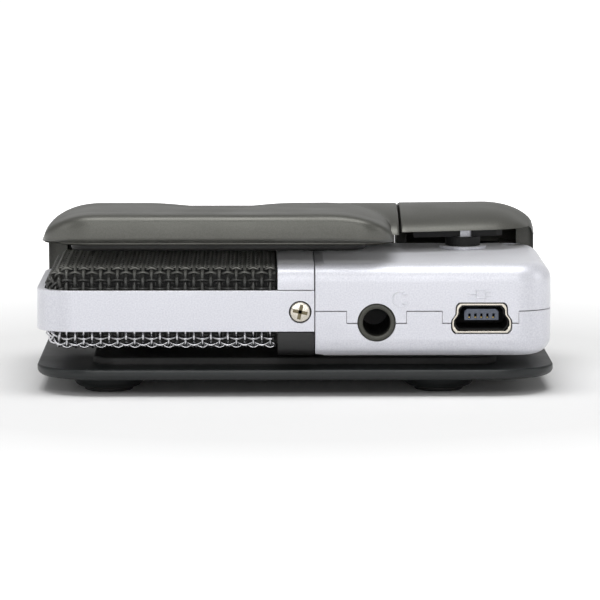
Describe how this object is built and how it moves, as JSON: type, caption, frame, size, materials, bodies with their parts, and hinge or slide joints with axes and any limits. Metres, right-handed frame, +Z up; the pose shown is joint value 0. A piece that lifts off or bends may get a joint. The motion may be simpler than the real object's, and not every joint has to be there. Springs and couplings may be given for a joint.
{
  "type": "folding clip-on usb microphone",
  "caption": "Folding clip-on USB condenser microphone: woven-wire head and silver housing folded between a footed base plate and a hinged dark clip.",
  "frame": {"origin": "middle of the base plate's outline, on the plane of the feet's undersides", "axes": "+X to the right along the longest side, seen from the socket side; +Y from the socket side to the hinge; +Z up, out of the base plate"},
  "size_m": [0.069, 0.043, 0.0244],
  "materials": {
    "gunmetal": "satin dark grey paint, soft highlights",
    "base_black": "satin blue-black paint",
    "rubber": "matt moulded rubber",
    "silver": "fine metallic silver paint with a sparkle",
    "black_plastic": "moulded black plastic",
    "black_mesh": "black coated woven wire",
    "chrome_mesh": "bright plated woven wire",
    "liner": "black acoustic cloth",
    "steel": "plain zinc-plated steel",
    "nickel": "nickel plate",
    "olive_metal": "dark olive-grey plated ring",
    "board_green": "green circuit board",
    "chip": "moulded chip body",
    "tongue": "blue-grey moulded tongue",
    "led_clear": "clear light pipe",
    "wire": "red insulated lead"
  },
  "bodies": {
    "base": {"base_plate": "base_black", "base_grip_pad": "rubber", "foot_front_left": "rubber", "foot_front_right": "rubber", "foot_rear_left": "rubber", "foot_rear_right": "rubber", "clip_spring_left": "steel", "clip_spring_right": "steel", "hinge_pin": "steel"},
    "arm": {"mic_arm": "gunmetal", "arm_plate": "black_plastic", "pin_cap_right": "black_plastic", "friction_washer": "black_plastic", "arm_screw_left": "steel", "arm_screw_right": "steel"},
    "jaw": {"clip_jaw": "gunmetal", "jaw_grip_pad": "rubber", "pin_cap_left": "black_plastic"},
    "switch": {"switch_knob": "black_plastic"},
    "mic": {"housing_upper": "silver", "housing_lower": "silver", "head_band": "silver", "head_frame": "black_plastic", "collar_upper": "silver", "collar_lower": "black_plastic", "grille_upper": "black_mesh", "grille_lower": "chrome_mesh", "liner_upper": "liner", "liner_lower": "liner", "capsule_cardioid": "nickel", "capsule_omni": "nickel", "capsule_lead": "wire", "main_board": "board_green", "codec_chip": "chip", "crystal": "nickel", "usb_shell": "nickel", "usb_tongue": "tongue", "jack_collar": "olive_metal", "jack_body": "black_plastic", "switch_body": "black_plastic", "status_led": "led_clear", "led_lens": "led_clear", "head_screw_near": "nickel", "head_screw_far": "nickel", "housing_screw_left": "steel", "housing_screw_right": "steel", "swivel_stud": "silver", "swivel_nut": "steel"}
  },
  "joints": [
    {"name": "clip_hinge", "type": "hinge", "parent": "base", "child": "arm", "pos_m": [0, 0.0165, 0.0135], "axis": [-1, 0, 0], "range_deg": [0, 90]},
    {"name": "jaw_hinge", "type": "hinge", "parent": "arm", "child": "jaw", "pos_m": [0, 0.0165, 0.0135], "axis": [-1, 0, 0], "range_deg": [0, 30], "stiffness_Nm_per_rad": 0.05, "springref_deg": -22.92},
    {"name": "mic_swivel", "type": "hinge", "parent": "arm", "child": "mic", "pos_m": [0.023, 0, 0.019], "axis": [0, 0, 1], "range_deg": [0, 95]},
    {"name": "switch_slide", "type": "slide", "parent": "mic", "child": "switch", "axis": [1, 0, 0], "range_m": [-0.002, 0.002]}
  ]
}
